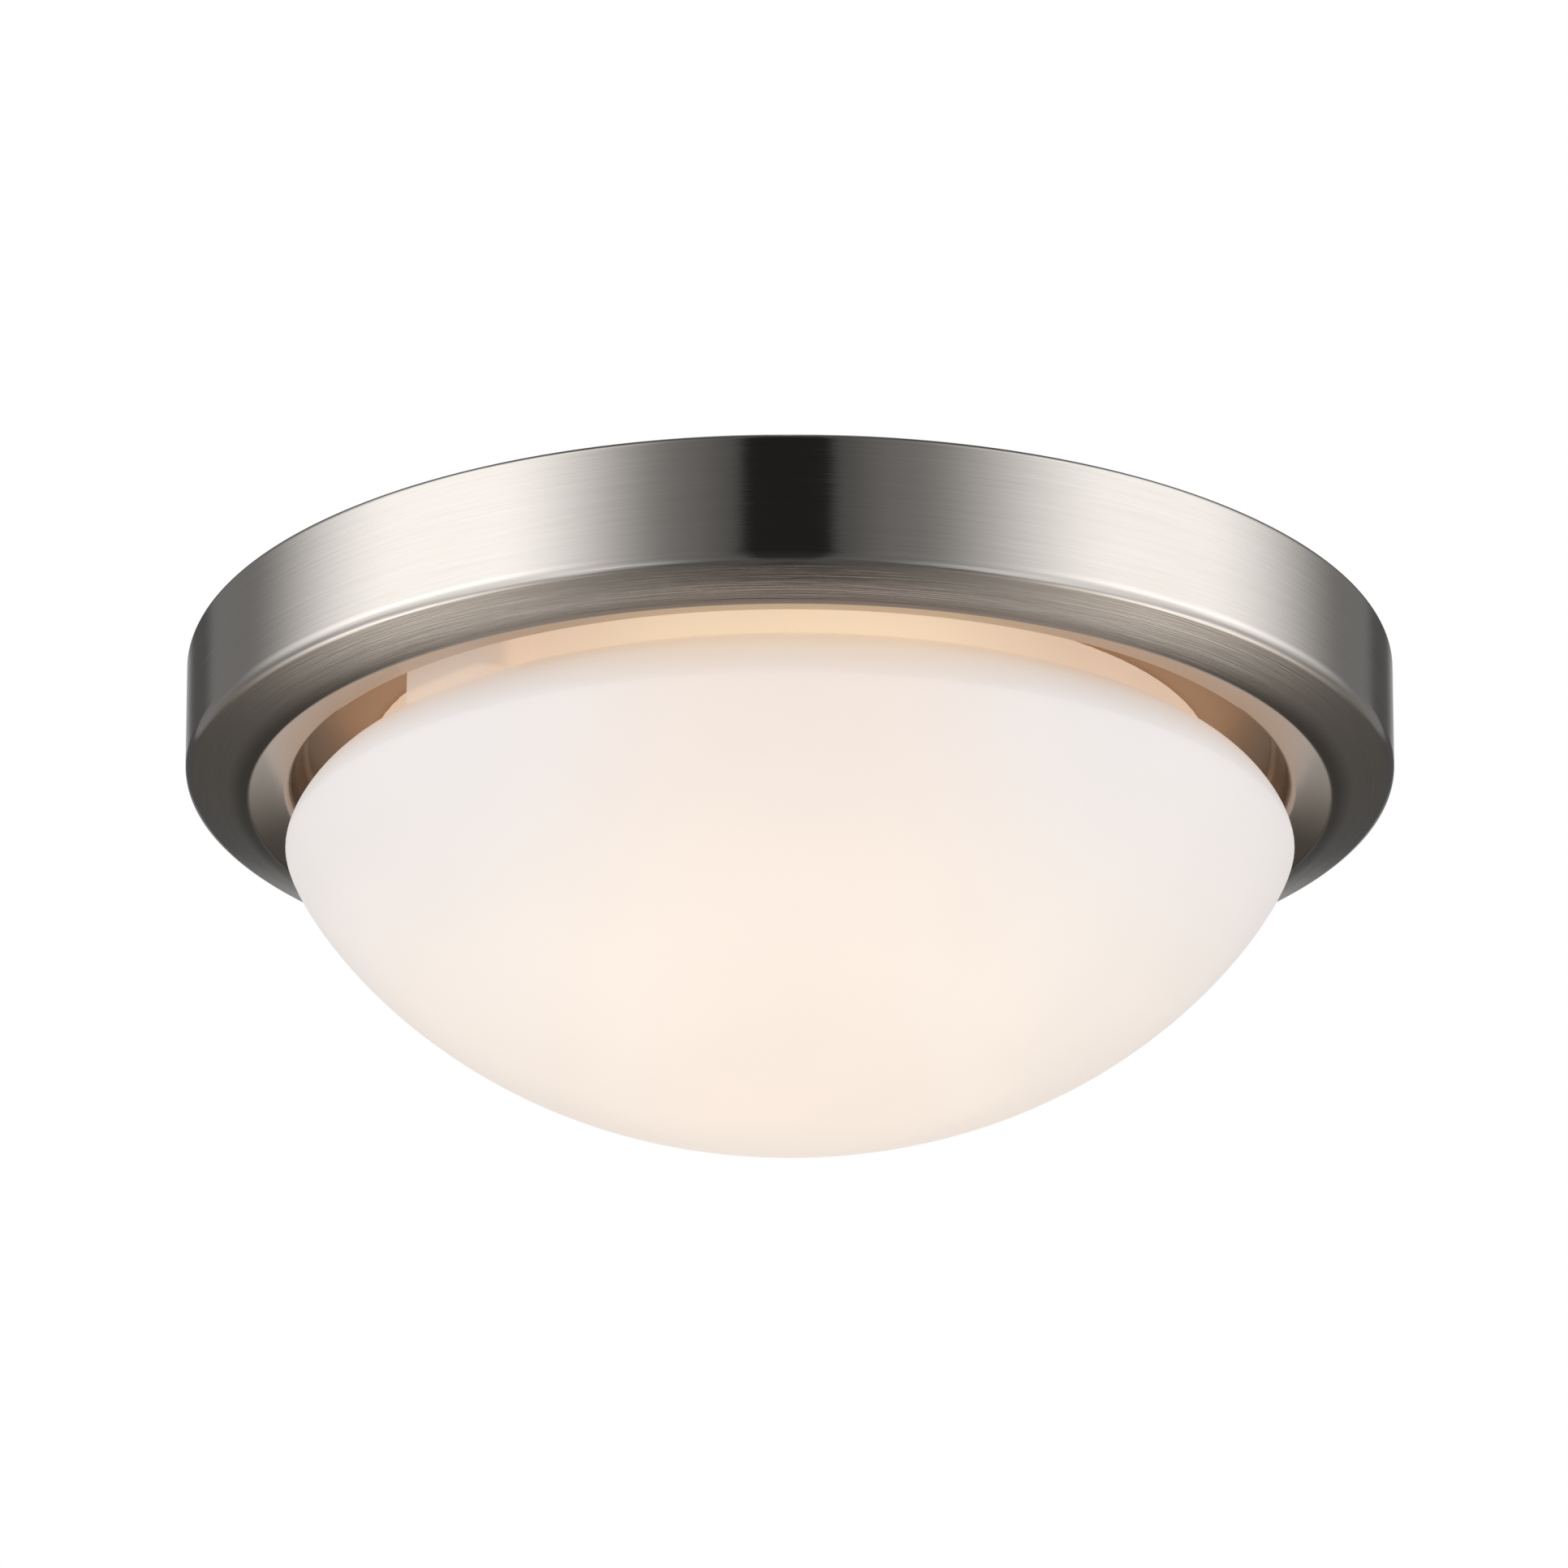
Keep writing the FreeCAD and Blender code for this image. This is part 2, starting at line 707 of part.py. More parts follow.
# -------------------------------------------------------------- lampholders
def lampholder_body():
    """Moulded body with a pad on its back and a skirt round the screw shell."""
    back = body_radius - body_taper
    face = loop(lines(
        at(0, body_back),
        at(back, body_back),
        at(back, floor_front),
        at(body_radius, floor_front + body_taper_height),
        at(body_radius, body_front - body_edge),
        at(body_radius - body_edge, body_front),
        at(body_bore_radius, body_front),
        at(body_bore_radius, floor_front),
        at(0, floor_front),
        at(0, body_back),
    ))
    body = revolved(face)
    pad = block(
        -body_pad_height / 2, body_pad_height / 2,
        -body_pad_width / 2, body_pad_width / 2,
        body_back, body_back + body_pad_depth,
    )
    uprights = [edge for edge in pad.Edges if edge.BoundBox.ZLength > body_pad_depth / 2]
    body = body.fuse(pad.makeFillet(body_pad_corner, uprights))
    screw_bore = tube(
        body_screw_radius + thread_clearance, 0,
        body_back - cut_over, body_back + body_screw_depth + seat_gap,
    )
    rivet_bore = tube(
        contact_rivet_radius + thread_clearance, 0,
        body_back - cut_over, floor_front + cut_over,
    )
    bores = [moved(screw_bore, side * body_screw_spacing / 2, 0, 0) for side in (-1, 1)]
    bores.append(moved(rivet_bore, contact_rivet_offset, 0, 0))
    return body.cut(bores)


def screw_shell():
    """Plated shell that takes the lamp cap, with a turned-in foot."""
    radius = lamp_cap_radius + shell_lamp_gap
    path = [
        (radius - shell_foot, floor_front + shell_wall),
        (radius, floor_front + shell_wall),
        (radius, floor_front + shell_length),
    ]
    return revolved(bent_sheet(path, [shell_bend], shell_wall))


def centre_contact():
    """Bent strip on the lampholder floor that presses on the lamp's end."""
    front = floor_front + contact_strip
    path = [
        (-contact_tongue, -seat_gap),
        (contact_ramp_start, -seat_gap),
        (contact_rivet_offset - contact_ramp_end, front),
        (contact_foot, front),
    ]
    strip = bent_strip(path, [contact_bend, contact_bend], contact_strip, contact_width)
    hole = tube(contact_rivet_radius + thread_clearance, 0, front - cut_over, front + cut_over)
    return strip.cut(moved(hole, contact_rivet_offset, 0, 0))


def contact_rivet():
    """Rivet through the contact strip and the lampholder floor."""
    front = floor_front + contact_strip
    head = tube(contact_rivet_head_radius, 0, front, front + contact_rivet_head_height)
    shank = tube(contact_rivet_radius, 0, body_back, front)
    return moved(head.fuse(shank), contact_rivet_offset, 0, 0)


def lampholder_screws():
    """Two screws from behind the bracket into the body's pad."""
    screw = pan_head_screw(
        body_screw_head_radius, body_screw_head_height, body_screw_head_edge, body_screw_slot_depth,
        body_screw_radius, bracket_sheet + body_screw_depth,
    )
    return [moved(screw, side * body_screw_spacing / 2, 0, body_back - bracket_sheet)
            for side in (-1, 1)]


def lampholder_bracket():
    """Angle bracket along +X, its origin on the lamp axis at the end contact."""
    outside = body_back - bracket_sheet
    path = [
        (outside, -bracket_below_axis),
        (outside, lamp_drop),
        (outside + bracket_foot, lamp_drop),
    ]
    bracket = bent_strip(path, [bracket_bend + bracket_sheet], bracket_sheet, bracket_width)
    corners = [
        edge for edge in bracket.Edges
        if abs(edge.BoundBox.ZMax + bracket_below_axis) < tolerance and edge.BoundBox.YLength < tolerance
    ]
    tips = [
        edge for edge in bracket.Edges
        if abs(edge.BoundBox.XMin - outside - bracket_foot) < tolerance and edge.BoundBox.YLength < tolerance
    ]
    bracket = bracket.makeFillet(bracket_corner, corners + tips)
    rivet_hole = tube(
        rivet_radius + thread_clearance, 0,
        lamp_drop - bracket_sheet - cut_over, lamp_drop + cut_over,
    )
    cutters = [moved(rivet_hole, x, 0, 0) for x in bracket_rivet_xs]
    screw_hole = laid(tube(
        body_screw_radius + screw_clearance, 0,
        outside - cut_over, body_back + cut_over,
    ))
    cutters += [moved(screw_hole, 0, 0, side * body_screw_spacing / 2) for side in (-1, 1)]
    return bracket.cut(cutters)


def laid(shape):
    """Lays a lamp piece, drawn along Z, along +X."""
    copy = shape.copy()
    copy.rotate(V(0, 0, 0), V(0, 1, 0), 90)
    return copy


def lamp_side(shape, side):
    """Takes a piece from the lamp's own place to side 0 or, turned over, side 1."""
    copy = moved(shape, -lamp_seat, lamp_offset, lamp_axis_z)
    copy.rotate(V(0, 0, 0), UP, 180 * side)
    return copy


# --------------------------------------------------------------------- parts
def all_parts():
    parts = {
        "ceiling_pan": ceiling_pan(),
        "wire_bushing": wire_bushing(),
        "insulation_pad": insulation_pad(),
        "mounting_strap": mounting_strap(),
        "mounting_screws": mounting_screws(),
        "ground_screw": ground_screw(),
        "glass_shade": glass_shade(),
    }
    holder_rivets = []
    bracket_rivets = []
    screws = []
    contact_rivets = []
    for i in range(pocket_count):
        azimuth = holder_azimuth + i * 360 / pocket_count
        letter = "ab"[i]
        parts["glass_holder_" + letter] = turned(glass_holder(), azimuth)
        parts["holder_sleeve_" + letter] = turned(holder_sleeve(), azimuth)
    for x, y in holder_rivet_points():
        holder_rivets.append(moved(rivet(-plate_depth - holder_strip, plate_top), x, y, 0))
    for x, y in bracket_rivet_points():
        bracket_rivets.append(moved(rivet(-plate_depth - bracket_sheet, plate_top), x, y, 0))
    for side, letter in enumerate("ab"):
        along_lamp = {
            "lampholder_body_": lampholder_body(),
            "screw_shell_": screw_shell(),
            "centre_contact_": centre_contact(),
            "bulb_glass_": lamp_glass(),
            "bulb_cap_": lamp_cap(),
            "bulb_insulator_": lamp_insulator(),
            "bulb_contact_": lamp_contact(),
        }
        for name, shape in along_lamp.items():
            parts[name + letter] = lamp_side(laid(shape), side)
        parts["lampholder_bracket_" + letter] = lamp_side(lampholder_bracket(), side)
        screws += [lamp_side(laid(screw), side) for screw in lampholder_screws()]
        contact_rivets.append(lamp_side(laid(contact_rivet()), side))
    parts["holder_rivets"] = Part.makeCompound(holder_rivets)
    parts["bracket_rivets"] = Part.makeCompound(bracket_rivets)
    parts["lampholder_screws"] = Part.makeCompound(screws)
    parts["contact_rivets"] = Part.makeCompound(contact_rivets)
    return parts


os.makedirs("parts", exist_ok=True)
for name, shape in all_parts().items():
    shape.exportStep("parts/%s.step" % name)
    print("%-24s solids %d valid %s volume %.1f" % (name, len(shape.Solids), shape.isValid(), shape.Volume))
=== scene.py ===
import json
import math

import bpy
import numpy as np
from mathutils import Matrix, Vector, noise


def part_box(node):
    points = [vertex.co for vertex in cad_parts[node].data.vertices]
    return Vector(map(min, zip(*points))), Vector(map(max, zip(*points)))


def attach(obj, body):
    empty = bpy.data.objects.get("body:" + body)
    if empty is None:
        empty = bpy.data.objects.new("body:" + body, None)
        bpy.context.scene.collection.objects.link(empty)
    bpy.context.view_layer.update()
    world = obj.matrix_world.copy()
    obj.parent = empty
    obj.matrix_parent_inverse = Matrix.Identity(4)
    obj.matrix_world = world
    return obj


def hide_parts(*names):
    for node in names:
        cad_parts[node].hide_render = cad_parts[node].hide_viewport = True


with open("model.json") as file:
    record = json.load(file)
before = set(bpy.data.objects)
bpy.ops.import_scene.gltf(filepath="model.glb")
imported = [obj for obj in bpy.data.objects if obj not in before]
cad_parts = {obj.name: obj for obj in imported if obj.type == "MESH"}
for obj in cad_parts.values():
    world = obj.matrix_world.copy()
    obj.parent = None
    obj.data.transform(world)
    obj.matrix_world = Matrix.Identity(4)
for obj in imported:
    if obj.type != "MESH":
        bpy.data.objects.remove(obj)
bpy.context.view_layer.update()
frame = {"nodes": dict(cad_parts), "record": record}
nodes = frame["nodes"]

# Metres throughout.  The light hangs from the ceiling plane z = 0 and -Y faces the viewer.
# Directions in the studio are given as degrees from -Y, positive towards +X, and as the Z
# of the unit vector.

# ------------------------------------------------------------------ camera
CAMERA_PLACE = (-0.0016, -1.2063, -0.4953)
CAMERA_TARGET = (-0.0016, 0.0, -0.0281)
LENS_MM = 107.9
SENSOR_MM = 36.0
NEAREST = 0.01                 # start of the camera's view

# ------------------------------------------------------- light on plain surfaces
PLAIN_LEVEL = 0.76
PLAIN_FRONT = 0.22             # how much more of it comes from the viewer's side
PLAIN_LEFT = 0.07              # and from the left

# ------------------------------------- the studio, as the metal and gloss mirror it
ROOM_LEVEL = 0.095             # the dim room
# Degrees at which each softbox begins, is full, starts to fade and ends
LEFT_SOFTBOX = (18.5, 56.0, 76.0, 121.0)
RIGHT_SOFTBOX = (20.0, 64.0, 80.0, 126.0)
RIGHT_SHARE = 0.95             # the right softbox stands a little further off
SOFTBOX_LEVEL = 1.33
SOFTBOX_HEIGHT = (-0.97, -0.88, 0.72, 0.95)  # Z over which they begin and end
SOFTBOX_FOOT = (-0.05, 0.25)   # Z over which they grow brighter downwards
SOFTBOX_FOOT_GAIN = 1.25
SOFTBOX_BASE = (-0.62, -0.10)  # Z over which they give way to the floor that they light
SOFTBOX_BASE_SHARE = 0.56
WALL_GLOW = 0.095              # what the softboxes light on the room's walls beside them
WALL_GLOW_ENDS = (6.0, 22.0, 139.5, 142.5)
DARK_CARD = (-9.3, -8.3, 7.3, 8.3)  # degrees of the black card in front, with its soft edges
DARK_CARD_LEVEL = 0.02
BACKDROP_LEVEL = 1.0
BACKDROP_EDGE = (150.0, 183.0)  # degrees over which the white backdrop behind begins
BACKDROP_BASE = (-0.06, 0.06)  # Z of its lower edge
SWEEP_LEVEL = 0.68             # where the backdrop runs out over the floor
SWEEP_EDGE = (161.5, 181.0)
SWEEP_FOOT = (-0.50, -0.25)
FLOOR_TOP = (-0.45, -0.10)     # Z over which the floor begins
FLOOR_LEVEL = 0.012
FLOOR_TINT = (1.0, 0.93, 0.85)  # its warm tint, and the degrees over which that begins
FLOOR_TINT_EDGE = (118.0, 142.0)
FLOOR_SHADE_EDGE = (169.0, 179.0)  # degrees of the shadow on it, and how much it takes off
FLOOR_SHADE = 0.5
# The softboxes' light on the floor behind: its middle and spreads in degrees, and its level
FLOOR_GLOW_ASIDE = 136.0
FLOOR_GLOW_ELEVATION = -51.5
FLOOR_GLOW_WIDTH = 13.4
FLOOR_GLOW_HEIGHT = 9.2
FLOOR_GLOW_LEVEL = 2.05

# ---------------------------------------------------------------------- floor
FLOOR_BELOW = 2.4              # height of the room
FLOOR_SIZE = 24.0
FLOOR_FADE = (2.2, 5.0)        # distances over which the floor gives way to the plain white
PAPER_DARK = (0.80, 0.80, 0.80)
PAPER_LIGHT = (0.84, 0.84, 0.84)
PAPER_SCALE = 3.0
PAPER_ROUGHNESS = 0.9

# --------------------------------------------------------------- node helpers
NOISE_RANGE = (0.3, 0.7)       # where nearly all values of a noise node lie


class Net:
    """A material's or world's node tree, with short calls for its nodes."""

    def __init__(self, tree):
        self.tree = tree

    def node(self, kind, **settings):
        made = self.tree.nodes.new(kind)
        for key, value in settings.items():
            setattr(made, key, value)
        return made

    def link(self, source, target):
        """Links a socket, or sets a number or a colour."""
        if isinstance(source, (int, float, tuple)):
            target.default_value = source
        else:
            self.tree.links.new(source, target)

    def math(self, operation, first, second=0.0):
        made = self.node("ShaderNodeMath", operation=operation)
        self.link(first, made.inputs[0])
        self.link(second, made.inputs[1])
        return made.outputs[0]

    def plus(self, first, second):
        return self.math("ADD", first, second)

    def minus(self, first, second):
        return self.math("SUBTRACT", first, second)

    def times(self, first, second):
        return self.math("MULTIPLY", first, second)

    def over(self, first, second):
        return self.math("DIVIDE", first, second)

    def larger(self, first, second):
        return self.math("MAXIMUM", first, second)

    def blend(self, share, first, second):
        """first where share is 1 and second where it is 0, as numbers."""
        return self.plus(self.times(first, share), self.times(second, self.minus(1.0, share)))

    def between(self, value, low, high, start=0.0, end=1.0):
        """value mapped from low..high to start..end, smoothly and clamped."""
        made = self.node("ShaderNodeMapRange", interpolation_type="SMOOTHSTEP")
        self.link(value, made.inputs["Value"])
        sockets = ("From Min", "From Max", "To Min", "To Max")
        for socket, number in zip(sockets, (low, high, start, end)):
            made.inputs[socket].default_value = number
        return made.outputs["Result"]

    def window(self, value, begin, full, fade, end):
        """0 outside begin..end, 1 from full to fade, smooth between."""
        rise = self.between(value, begin, full)
        return self.times(rise, self.between(value, fade, end, 1.0, 0.0))

    def noise(self, vector, scale, detail=3.0, roughness=0.55):
        made = self.node("ShaderNodeTexNoise")
        self.link(vector, made.inputs["Vector"])
        made.inputs["Scale"].default_value = scale
        made.inputs["Detail"].default_value = detail
        made.inputs["Roughness"].default_value = roughness
        return made.outputs["Fac"]

    def ramp(self, value, low, dark, high, light):
        """dark up to low, light from high, and linear between."""
        made = self.node("ShaderNodeValToRGB")
        elements = made.color_ramp.elements
        for element, position, colour in zip(elements, (low, high), (dark, light)):
            element.position, element.color = position, (*colour, 1.0)
        self.link(value, made.inputs["Fac"])
        return made.outputs["Color"]

    def mix(self, share, first, second):
        """The colour first where share is 0 and second where it is 1."""
        made = self.node("ShaderNodeMix", data_type="RGBA")
        self.link(share, made.inputs["Factor"])
        for value, socket in ((first, made.inputs["A"]), (second, made.inputs["B"])):
            self.link((*value, 1.0) if isinstance(value, tuple) else value, socket)
        return made.outputs["Result"]

    def combine(self, x, y, z):
        made = self.node("ShaderNodeCombineXYZ")
        for value, socket in zip((x, y, z), made.inputs):
            self.link(value, socket)
        return made.outputs[0]

    def bump(self, height, distance, strength):
        made = self.node("ShaderNodeBump")
        made.inputs["Strength"].default_value = strength
        made.inputs["Distance"].default_value = distance
        self.link(height, made.inputs["Height"])
        return made.outputs["Normal"]


def new_material(name, **sockets):
    """A material with one Principled shader; sockets are its constant values."""
    material = bpy.data.materials.new(name)
    material.use_nodes = True
    net = Net(material.node_tree)
    shader = next(node for node in material.node_tree.nodes if node.type == "BSDF_PRINCIPLED")
    for socket, value in sockets.items():
        shader.inputs[socket.replace("_", " ")].default_value = value
    return material, net, shader


def object_point(net):
    """The point in object coordinates."""
    return net.node("ShaderNodeTexCoord").outputs["Object"]


def place(net):
    """Object coordinates: the point, its X, Y, Z and its distance from the light's axis."""
    point = object_point(net)
    parts = net.node("ShaderNodeSeparateXYZ")
    net.link(point, parts.inputs[0])
    x, y, z = parts.outputs
    radius = net.math("SQRT", net.plus(net.times(x, x), net.times(y, y)))
    return point, x, y, z, radius


# ------------------------------------------------------------- brushed nickel
NICKEL_DARK = (0.575, 0.538, 0.502)
NICKEL_LIGHT = (0.645, 0.612, 0.580)
NICKEL_LIP = (0.520, 0.465, 0.415)
# Painted dark line: a dark reflection laid into the colour at the bevel's inner edge
NICKEL_PAINTED_DARK_LINE = (0.285, 0.257, 0.232)
# Brown of the recess: a painted warm reflection of the glowing glass, laid into the nickel's colour
NICKEL_INSIDE_PAINTED_REFLECTION = (0.480, 0.360, 0.262)
NICKEL_RANGE = (0.30, 0.72)    # share of the grain at which the dark and the light are reached
LIP_EDGE = (0.1482, 0.1494)    # radius over which the brushed bevel gives way to the polished lip
RECESS_MOUTH = (0.1348, 0.1358)
PAINTED_LINE_RING = (0.1472, 0.1480, 0.1487, 0.1545)  # the painted dark line where the brushing meets the polish, a painted reflection
PAINTED_LINE_HEIGHT = (-0.0368, -0.0355)
BRUSH_LINES = 2600.0           # brush lines per metre across the brushing
BRUSH_ROUND = 5.0              # how fast a line changes on its way round
BRUSH_ROUND_LEAST = 0.5        # what is added to a layer's fineness there
BRUSH_LAYERS = ((1.0, 0.45), (0.37, 0.35), (0.12, 0.20))  # fineness and share of each layer
TINT_SHARES = (0.8, 0.2)       # of the grain and of wide clouds
CLOUD_SCALE = 9.0
BRUSHED_ROUGHNESS = (0.120, 0.150)
POLISHED_ROUGHNESS = (0.13, 0.18)
INSIDE_ROUGHNESS = 0.16        # added in the recess
BRUSHED_ROTATION = 0.25        # the gloss spreads across the brush lines
BRUSH_DEPTH = 0.00012
BRUSH_STRENGTH = 0.6


def brushed_nickel():
    """Spun sheet: brushed round its axis, polished on the lip and inside; painted warm reflection
    in the recess, painted dark line at the lip's edge.
    """
    material, net, shader = new_material(
        "brushed_nickel", Metallic=1.0, Anisotropic=1.0, Anisotropic_Rotation=BRUSHED_ROTATION)
    point, x, y, z, radius = place(net)
    round_x = net.over(x, radius)
    round_y = net.over(y, radius)
    across = net.plus(z, radius)
    layers = []
    for fineness, share in BRUSH_LAYERS:
        change = BRUSH_ROUND * (BRUSH_ROUND_LEAST + fineness)
        path = net.combine(net.times(round_x, change), net.times(round_y, change),
                           net.times(across, BRUSH_LINES * fineness))
        layers.append(net.times(net.noise(path, 1.0, detail=2.0), share))
    grain = net.plus(net.plus(layers[0], layers[1]), layers[2])
    polished = net.between(radius, *LIP_EDGE, 1.0, 0.0)
    brushed = net.minus(1.0, polished)
    inside = net.between(radius, *RECESS_MOUTH, 1.0, 0.0)
    clouds = net.noise(point, CLOUD_SCALE, detail=2.0)

    tint = net.plus(net.times(grain, TINT_SHARES[0]), net.times(clouds, TINT_SHARES[1]))
    colour = net.ramp(tint, NICKEL_RANGE[0], NICKEL_DARK, NICKEL_RANGE[1], NICKEL_LIGHT)
    colour = net.mix(polished, colour, NICKEL_LIP)
    # the recess takes the brown that paints the glass's warm reflection
    colour = net.mix(inside, colour, NICKEL_INSIDE_PAINTED_REFLECTION)
    # painted dark reflection line round the bevel's inner edge
    in_painted_line = net.times(net.window(radius, *PAINTED_LINE_RING), net.between(z, *PAINTED_LINE_HEIGHT, 1.0, 0.0))
    colour = net.mix(in_painted_line, colour, NICKEL_PAINTED_DARK_LINE)
    net.link(colour, shader.inputs["Base Color"])

    rough_brushed = net.between(grain, *NOISE_RANGE, *BRUSHED_ROUGHNESS)
    rough_polished = net.between(clouds, *NOISE_RANGE, *POLISHED_ROUGHNESS)
    rough_polished = net.plus(rough_polished, net.times(inside, INSIDE_ROUGHNESS))
    rough = net.plus(net.times(rough_brushed, brushed), net.times(rough_polished, polished))
    net.link(rough, shader.inputs["Roughness"])
    tangent = net.node("ShaderNodeTangent", direction_type="RADIAL", axis="Z")
    net.link(tangent.outputs[0], shader.inputs["Tangent"])
    relief = net.bump(net.times(grain, brushed), BRUSH_DEPTH, BRUSH_STRENGTH)
    net.link(relief, shader.inputs["Normal"])
    return material


# ----------------------------------------------------------------- opal glass
GLASS_WHITE = (0.60, 0.60, 0.61)
GLASS_SHADE = 0.98             # share of the white that the darker clouds keep
# Light that comes through from the lamps inside, and painted light and shade on the glass
GLOW_NECK = (0.64, 0.49, 0.33)
# On the sides the lamps' glow is mixed with painted light and shade of the softboxes
NECK_SIDES_GLOW_AND_PAINTED_LIGHT = (0.52, 0.37, 0.262)
GLOW_BELLY = (0.440, 0.337, 0.262)
BELLY_SIDES_GLOW_AND_PAINTED_LIGHT = (0.410, 0.368, 0.343)
GLOW_BOTTOM = (0.560, 0.440, 0.335)
BOTTOM_SIDES_GLOW_AND_PAINTED_LIGHT = (0.520, 0.430, 0.350)
GLOW_POCKET = (0.40, 0.30, 0.23)
PAINTED_SIDES_SPAN = (0.015, 0.085)    # distance from X = 0 over which the sides, with their painted softbox light and shade, begin
NECK_START = (-0.052, -0.0310)  # Z between which the belly's light gives way to the neck's; the dimmer band just below the neck paints the shade in the crease between neck and shoulder
BOTTOM_START = (-0.112, -0.054)  # Z between which the bottom's light gives way to the belly's
POCKET_RING = (0.1185, 0.1235)  # radius and Z over which the pockets begin
POCKET_HEIGHT = (-0.0345, -0.0325)
REAR_SHADE_START = (-0.010, 0.050)   # Y over which painted shade darkens the glow towards the rear
REAR_PAINTED_SHADE = 0.26               # share of the glow that this painted shade takes off there
UNLIT = (0.0, 0.0, 0.0)
SWIRL_SCALE = 9.0
SWIRL_X = 0.09                 # how far the swirls bend the clouds
SWIRL_Y = -0.07
GLASS_CLOUD_SCALE = 15.0
CLOUD_STRENGTH = 0.035         # how much the clouds change the light
CLOUD_COLOUR_RANGE = (0.35, 0.65)
GLASS_GLOSS = 0.2
GLASS_ROUGHNESS = (0.36, 0.42)
RIPPLE_SCALE = 22.0
RIPPLE_DEPTH = 0.0004
RIPPLE_STRENGTH = 0.12


def opal_glow(net, x, y, z, radius):
    """Colour of the lamps' light in the glass: neck, belly, bottom and pockets, with painted light
    and shade on the sides, in the crease under the neck and towards the rear.
    """
    # painted softbox light and shade on the sides
    painted_sides = net.between(net.math("ABSOLUTE", x), *PAINTED_SIDES_SPAN)
    neck = net.mix(painted_sides, GLOW_NECK, NECK_SIDES_GLOW_AND_PAINTED_LIGHT)
    belly = net.mix(painted_sides, GLOW_BELLY, BELLY_SIDES_GLOW_AND_PAINTED_LIGHT)
    bottom = net.mix(painted_sides, GLOW_BOTTOM, BOTTOM_SIDES_GLOW_AND_PAINTED_LIGHT)
    glow = net.mix(net.between(z, *BOTTOM_START, 1.0, 0.0), belly, bottom)
    # the dimmer band below the neck is painted shade in the crease
    glow = net.mix(net.between(z, *NECK_START), glow, neck)
    on_pocket = net.times(net.between(radius, *POCKET_RING), net.between(z, *POCKET_HEIGHT))
    glow = net.mix(on_pocket, glow, GLOW_POCKET)
    # painted shade: the glow darkens towards the rear, which gets less light
    return net.mix(net.between(y, *REAR_SHADE_START, 0.0, REAR_PAINTED_SHADE), glow, UNLIT)


def opal_glass():
    """Satin opal glass with faint swirls, lit through from the lamps inside, with painted light on
    its sides and painted shade towards the rear.
    """
    material, net, shader = new_material("opal_glass", Specular_IOR_Level=GLASS_GLOSS)
    point, x, y, z, radius = place(net)
    bend = net.noise(point, SWIRL_SCALE, detail=2.0)
    swirl = net.combine(net.plus(x, net.times(bend, SWIRL_X)),
                        net.plus(y, net.times(bend, SWIRL_Y)), z)
    clouds = net.noise(swirl, GLASS_CLOUD_SCALE, detail=4.0, roughness=0.5)
    lift = net.between(clouds, *NOISE_RANGE, 1.0 - CLOUD_STRENGTH, 1.0 + CLOUD_STRENGTH)
    scaled = net.node("ShaderNodeVectorMath", operation="SCALE")
    net.link(opal_glow(net, x, y, z, radius), scaled.inputs[0])
    net.link(lift, scaled.inputs["Scale"])
    net.link(scaled.outputs[0], shader.inputs["Emission Color"])
    shader.inputs["Emission Strength"].default_value = 1.0
    shaded = tuple(channel * GLASS_SHADE for channel in GLASS_WHITE)
    colour = net.mix(net.between(clouds, *CLOUD_COLOUR_RANGE), GLASS_WHITE, shaded)
    net.link(colour, shader.inputs["Base Color"])
    net.link(net.between(clouds, *NOISE_RANGE, *GLASS_ROUGHNESS), shader.inputs["Roughness"])
    ripple = net.noise(point, RIPPLE_SCALE, detail=2.0)
    net.link(net.bump(ripple, RIPPLE_DEPTH, RIPPLE_STRENGTH), shader.inputs["Normal"])
    return material


# ------------------------------------------------------------- other surfaces
MOTTLE_FINER = 9.0             # scale of the fine noise over that of the coarse
MOTTLE_SHARES = (0.65, 0.35)   # of the coarse and of the fine noise
MOTTLE_RANGE = (0.32, 0.68)
MOTTLE_RELIEF = 0.5


def mottled(name, colour, spread, roughness, scale, bump=0.00005, rough_spread=0.08, **sockets):
    """A plain surface with the cloudy colour, gloss and relief of a real one."""
    material, net, shader = new_material(name, **sockets)
    point = object_point(net)
    coarse = net.noise(point, scale, detail=4.0)
    fine = net.noise(point, scale * MOTTLE_FINER, detail=2.0)
    both = net.plus(net.times(coarse, MOTTLE_SHARES[0]), net.times(fine, MOTTLE_SHARES[1]))
    dark = tuple(channel * (1.0 - spread) for channel in colour)
    light = tuple(min(1.0, channel * (1.0 + spread)) for channel in colour)
    tint = net.ramp(both, MOTTLE_RANGE[0], dark, MOTTLE_RANGE[1], light)
    net.link(tint, shader.inputs["Base Color"])
    rough = net.between(both, *NOISE_RANGE, roughness - rough_spread, roughness + rough_spread)
    net.link(rough, shader.inputs["Roughness"])
    net.link(net.bump(both, bump, MOTTLE_RELIEF), shader.inputs["Normal"])
    return material


